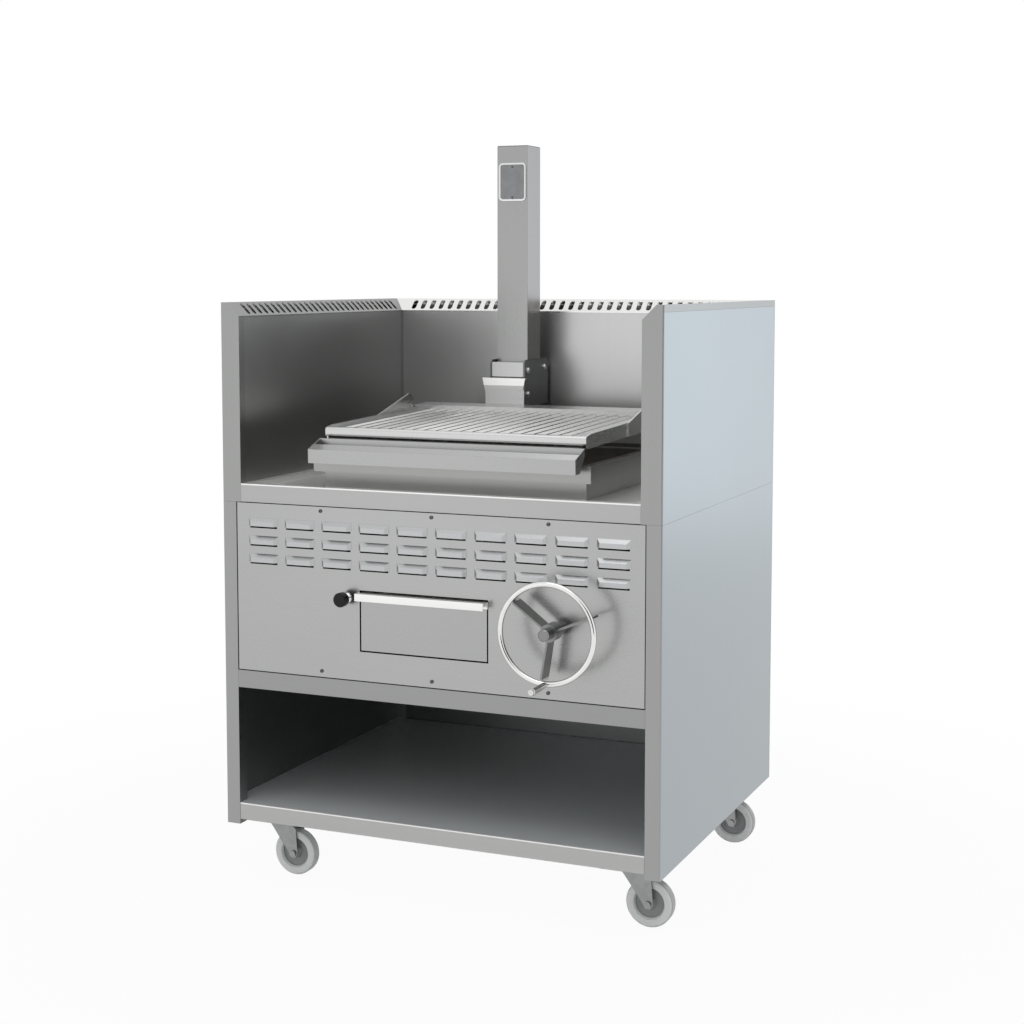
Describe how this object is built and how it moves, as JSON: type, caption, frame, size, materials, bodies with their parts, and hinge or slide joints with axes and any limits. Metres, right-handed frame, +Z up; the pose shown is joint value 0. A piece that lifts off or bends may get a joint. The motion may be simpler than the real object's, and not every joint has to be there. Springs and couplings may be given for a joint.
{
  "type": "charcoal grill",
  "caption": "Free-standing charcoal grill on castors: louvred cabinet with an ash drawer, a slotted wind surround and a V-bar grill raised on a mast by a handwheel.",
  "frame": {"origin": "on the floor, in the middle of the whole part's box", "axes": "+Z up, -Y towards the user, +X to the user's right"},
  "size_m": [1, 0.9724, 1.633],
  "materials": {
    "brushed_sheet": "brushed",
    "turned_steel": "turned",
    "zinc_plated_steel": "zinc plated",
    "grey_wheel_plastic": "moulded",
    "black_plastic": "glossy",
    "cast_grate": "as cast",
    "refractory": "fired"
  },
  "bodies": {
    "cabinet": {"left_side_panel": "brushed_sheet", "right_side_panel": "brushed_sheet", "lower_rear_panel": "brushed_sheet", "upper_rear_panel": "brushed_sheet", "panel_screws": "turned_steel", "bottom_shelf": "brushed_sheet", "castor_rails": "zinc_plated_steel", "bay_ceiling": "brushed_sheet", "deck": "brushed_sheet", "control_panel": "brushed_sheet", "surround_left_skin": "brushed_sheet", "surround_right_skin": "brushed_sheet", "surround_lining": "brushed_sheet", "vent_cap_left": "brushed_sheet", "vent_cap_right": "brushed_sheet", "vent_cap_back": "brushed_sheet", "fire_tray": "brushed_sheet", "fire_tray_rim": "brushed_sheet", "firebricks": "refractory", "ember_grate": "cast_grate", "ash_chute": "brushed_sheet", "drawer_runners": "brushed_sheet", "shaft_bearings": "turned_steel", "pulley_pins": "turned_steel", "lift_cable": "turned_steel", "mast_column": "brushed_sheet", "mast_cap": "brushed_sheet", "castor_plates": "zinc_plated_steel"},
    "carriage": {"carriage_frame": "brushed_sheet", "carriage_cover": "brushed_sheet", "roller_bolts": "turned_steel", "lift_cable_fall": "turned_steel"},
    "upper_front_roller": {"upper_front_roller": "turned_steel"},
    "lower_front_roller": {"lower_front_roller": "turned_steel"},
    "rear_roller": {"rear_roller": "turned_steel"},
    "grill": {"grill_frame": "brushed_sheet", "grill_bars": "brushed_sheet", "grill_hook": "brushed_sheet"},
    "gutter": {"grease_gutter": "brushed_sheet"},
    "winch": {"handwheel": "brushed_sheet", "grip_spindle": "turned_steel", "lift_shaft": "turned_steel", "cable_drum": "turned_steel", "cable_winding": "turned_steel"},
    "crank_grip": {"crank_grip": "turned_steel"},
    "foot_pulley": {"foot_pulley": "turned_steel"},
    "top_pulley": {"top_pulley": "turned_steel"},
    "ash_drawer": {"ash_drawer_box": "brushed_sheet", "ash_drawer_front": "brushed_sheet", "ash_drawer_handle": "brushed_sheet"},
    "air_damper": {"air_damper_slide": "brushed_sheet", "air_damper_knob": "black_plastic"},
    "front_left_fork": {"front_left_fork": "zinc_plated_steel"},
    "front_left_wheel": {"front_left_wheel": "grey_wheel_plastic"},
    "front_right_fork": {"front_right_fork": "zinc_plated_steel"},
    "front_right_wheel": {"front_right_wheel": "grey_wheel_plastic"},
    "rear_left_fork": {"rear_left_fork": "zinc_plated_steel"},
    "rear_left_wheel": {"rear_left_wheel": "grey_wheel_plastic"},
    "rear_right_fork": {"rear_right_fork": "zinc_plated_steel"},
    "rear_right_wheel": {"rear_right_wheel": "grey_wheel_plastic"}
  },
  "joints": [
    {"name": "carriage_lift", "type": "slide", "parent": "cabinet", "child": "carriage", "axis": [0, 0, 1], "range_m": [0, 0.36], "deforming": ["lift_cable_fall"]},
    {"name": "grill_lift_off", "type": "slide", "parent": "carriage", "child": "grill", "axis": [0, 0, 1], "range_m": [0, 0.03]},
    {"name": "gutter_slide_off", "type": "slide", "parent": "grill", "child": "gutter", "axis": [0, -0.9997, -0.0262], "range_m": [0, 0.07]},
    {"name": "handwheel_turn", "type": "hinge", "parent": "cabinet", "child": "winch", "pos_m": [0.285, -0.3362, 0.621], "axis": [0, 1, 0], "range_deg": [0, 645]},
    {"name": "crank_grip_spin", "type": "hinge", "parent": "winch", "child": "crank_grip", "pos_m": [0.285, -0.4512, 0.5215], "axis": [0, 1, 0], "continuous": true},
    {"name": "foot_pulley_spin", "type": "hinge", "parent": "cabinet", "child": "foot_pulley", "pos_m": [-0.097, 0.3528, 0.671], "axis": [0, 1, 0], "range_deg": [-1150, 0]},
    {"name": "top_pulley_spin", "type": "hinge", "parent": "cabinet", "child": "top_pulley", "pos_m": [-0.097, 0.3528, 1.547], "axis": [0, 1, 0], "range_deg": [-1150, 0]},
    {"name": "upper_front_roller_spin", "type": "hinge", "parent": "carriage", "child": "upper_front_roller", "pos_m": [-0.097, 0.3015, 1.101], "axis": [1, 0, 0], "range_deg": [-1720, 0]},
    {"name": "lower_front_roller_spin", "type": "hinge", "parent": "carriage", "child": "lower_front_roller", "pos_m": [-0.097, 0.3015, 1.044], "axis": [1, 0, 0], "range_deg": [-1720, 0]},
    {"name": "rear_roller_spin", "type": "hinge", "parent": "carriage", "child": "rear_roller", "pos_m": [-0.097, 0.4041, 1.105], "axis": [1, 0, 0], "range_deg": [0, 1720]},
    {"name": "ash_drawer_slide", "type": "slide", "parent": "cabinet", "child": "ash_drawer", "axis": [0, -1, 0], "range_m": [0, 0.3]},
    {"name": "air_damper_slide", "type": "slide", "parent": "cabinet", "child": "air_damper", "axis": [0, -1, 0], "range_m": [0, 0.02]},
    {"name": "front_left_swivel", "type": "hinge", "parent": "cabinet", "child": "front_left_fork", "pos_m": [-0.414, -0.2412, 0.118], "axis": [0, 0, 1], "continuous": true},
    {"name": "front_left_wheel_spin", "type": "hinge", "parent": "front_left_fork", "child": "front_left_wheel", "pos_m": [-0.379, -0.2412, 0.05], "axis": [0, 1, 0], "continuous": true},
    {"name": "front_right_swivel", "type": "hinge", "parent": "cabinet", "child": "front_right_fork", "pos_m": [0.414, -0.2412, 0.118], "axis": [0, 0, 1], "continuous": true},
    {"name": "front_right_wheel_spin", "type": "hinge", "parent": "front_right_fork", "child": "front_right_wheel", "pos_m": [0.449, -0.2412, 0.05], "axis": [0, 1, 0], "continuous": true},
    {"name": "rear_left_swivel", "type": "hinge", "parent": "cabinet", "child": "rear_left_fork", "pos_m": [-0.414, 0.3588, 0.118], "axis": [0, 0, 1], "continuous": true},
    {"name": "rear_left_wheel_spin", "type": "hinge", "parent": "rear_left_fork", "child": "rear_left_wheel", "pos_m": [-0.379, 0.3588, 0.05], "axis": [0, 1, 0], "continuous": true},
    {"name": "rear_right_swivel", "type": "hinge", "parent": "cabinet", "child": "rear_right_fork", "pos_m": [0.414, 0.3588, 0.118], "axis": [0, 0, 1], "continuous": true},
    {"name": "rear_right_wheel_spin", "type": "hinge", "parent": "rear_right_fork", "child": "rear_right_wheel", "pos_m": [0.449, 0.3588, 0.05], "axis": [0, 1, 0], "continuous": true}
  ],
  "couplings": [
    {"joint": "handwheel_turn", "follows": "carriage_lift", "rad_per_m": 31.25},
    {"joint": "foot_pulley_spin", "follows": "carriage_lift", "rad_per_m": -55.556},
    {"joint": "top_pulley_spin", "follows": "carriage_lift", "rad_per_m": -55.556},
    {"joint": "upper_front_roller_spin", "follows": "carriage_lift", "rad_per_m": -83.333},
    {"joint": "lower_front_roller_spin", "follows": "carriage_lift", "rad_per_m": -83.333},
    {"joint": "rear_roller_spin", "follows": "carriage_lift", "rad_per_m": 83.333}
  ]
}
